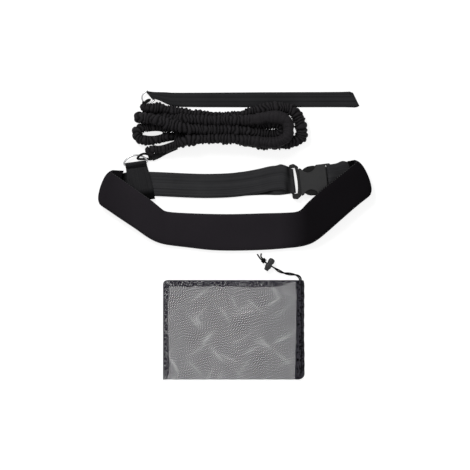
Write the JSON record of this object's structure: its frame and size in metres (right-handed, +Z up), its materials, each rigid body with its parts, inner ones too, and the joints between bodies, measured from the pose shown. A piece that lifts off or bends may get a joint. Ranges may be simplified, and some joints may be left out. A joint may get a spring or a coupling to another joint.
{
  "type": "swim resistance belt",
  "caption": "Padded waist belt with a side-release buckle, a gathered elastic tether, an anchor strap and a net carry bag, laid out flat.",
  "frame": {"origin": "centre of the laid-out set's footprint, on the surface that it lies on", "axes": "+Z up from the floor, +X along the belt's back webbing towards its buckle, +Y from the carry bag towards the anchor strap"},
  "size_m": [0.5514, 0.5782, 0.0416],
  "materials": {
    "pad_fabric": "matt neoprene-like cover",
    "foam": "closed-cell foam",
    "webbing": "woven nylon webbing",
    "acetal": "satin moulded plastic",
    "steel": "bright wire",
    "gathered_fabric": "gathered cloth",
    "latex": "plain elastic tube",
    "rope": "braided cord",
    "net": "black net"
  },
  "bodies": {
    "belt": {"pad_cover": "pad_fabric", "pad_foam": "foam", "belt_webbing": "webbing", "buckle_socket": "acetal", "buckle_plug": "acetal"},
    "upper_prong": {"buckle_prong_upper": "acetal"},
    "lower_prong": {"buckle_prong_lower": "acetal"},
    "tab": {"ring_tab": "webbing"},
    "ring_on_belt": {"belt_ring": "steel"},
    "tether": {"tether_sleeve": "gathered_fabric", "tether_core": "latex", "belt_end_loop": "rope", "belt_end_band": "gathered_fabric", "anchor_end_loop": "rope", "anchor_end_cuff": "gathered_fabric"},
    "strap": {"anchor_strap": "webbing"},
    "ring_on_strap": {"anchor_ring": "steel"},
    "mesh_bag": {"bag_back_panel": "net", "bag_front_panel": "net", "bag_hem": "webbing", "bag_channel": "webbing", "drawstring": "rope", "drawstring_knot": "rope"},
    "cord_lock": {"cordlock_body": "acetal"},
    "lock_button": {"cordlock_button": "acetal"}
  },
  "joints": [
    {"name": "upper_prong_press", "type": "hinge", "parent": "belt", "child": "upper_prong", "pos_m": [0.13193, 0.12547, 0.0063], "axis": [0, 0, 1], "range_deg": [-9, 0], "stiffness_Nm_per_rad": 0.2},
    {"name": "lower_prong_press", "type": "hinge", "parent": "belt", "child": "lower_prong", "pos_m": [0.13668, 0.08676, 0.0063], "axis": [0, 0, 1], "range_deg": [0, 9], "stiffness_Nm_per_rad": 0.2},
    {"name": "tab_slide", "type": "slide", "parent": "belt", "child": "tab", "axis": [0.9994, -0.036, 0], "range_m": [-0.003, 0.1]},
    {"name": "belt_ring_swing", "type": "hinge", "parent": "tab", "child": "ring_on_belt", "pos_m": [-0.1982, 0.143, 0.0059], "axis": [0.9903, 0.1392, 0], "range_deg": [0, 8]},
    {"name": "tether_swing", "type": "hinge", "parent": "tab", "child": "tether", "pos_m": [-0.19641, 0.13026, 0.0059], "axis": [0, 0, 1], "range_deg": [-5, 30]},
    {"name": "strap_swing", "type": "hinge", "parent": "tether", "child": "strap", "pos_m": [-0.1741, 0.27429, 0.0058], "axis": [0, 0, 1], "range_deg": [0, 50]},
    {"name": "anchor_ring_swing", "type": "hinge", "parent": "strap", "child": "ring_on_strap", "pos_m": [-0.168, 0.27955, 0.0058], "axis": [-0.6529, 0.7575, 0], "range_deg": [0, 8]},
    {"name": "bag_slide", "type": "slide", "parent": "belt", "child": "mesh_bag", "axis": [0, -1, 0], "range_m": [0, 0.15]},
    {"name": "cord_lock_slide", "type": "slide", "parent": "mesh_bag", "child": "cord_lock", "axis": [0.848, -0.5299, 0], "range_m": [-0.0018, 0.0058]},
    {"name": "lock_button_press", "type": "slide", "parent": "cord_lock", "child": "lock_button", "axis": [-0.5299, -0.848, 0], "range_m": [0, 0.003], "stiffness_N_per_m": 600, "springref_m": -0.001}
  ],
  "couplings": [
    {"joint": "lower_prong_press", "follows": "upper_prong_press", "ratio": -1}
  ]
}
